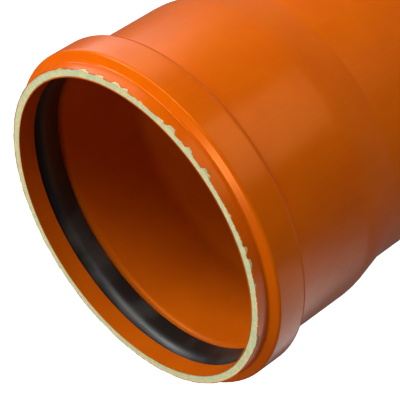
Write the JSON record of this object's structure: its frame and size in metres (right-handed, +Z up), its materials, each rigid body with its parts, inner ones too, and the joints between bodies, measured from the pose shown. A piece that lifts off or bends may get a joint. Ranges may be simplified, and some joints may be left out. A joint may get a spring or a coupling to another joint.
{
  "type": "plastic sewer pipe",
  "caption": "Foam-core plastic sewer pipe with a beaded ring socket, a rubber sealing ring and a chamfered spigot end.",
  "frame": {"origin": "on the floor, at the middle of the spigot end that the pipe stands on", "axes": "+Z up along the pipe, from the spigot end to the socket's mouth; the pipe is round, so +X and +Y are any two directions across it"},
  "size_m": [0.1821, 0.1822, 0.5779],
  "materials": {
    "pvc_skin": "satin extruded PVC-U, orange-brown",
    "foamed_pvc": "matte sawn foamed PVC-U, pale cream",
    "seal_rubber": "satin moulded rubber"
  },
  "bodies": {
    "root": {"outer_skin": "pvc_skin", "inner_skin": "pvc_skin", "wall_core": "foamed_pvc", "sealing_ring": "seal_rubber"}
  },
  "joints": []
}
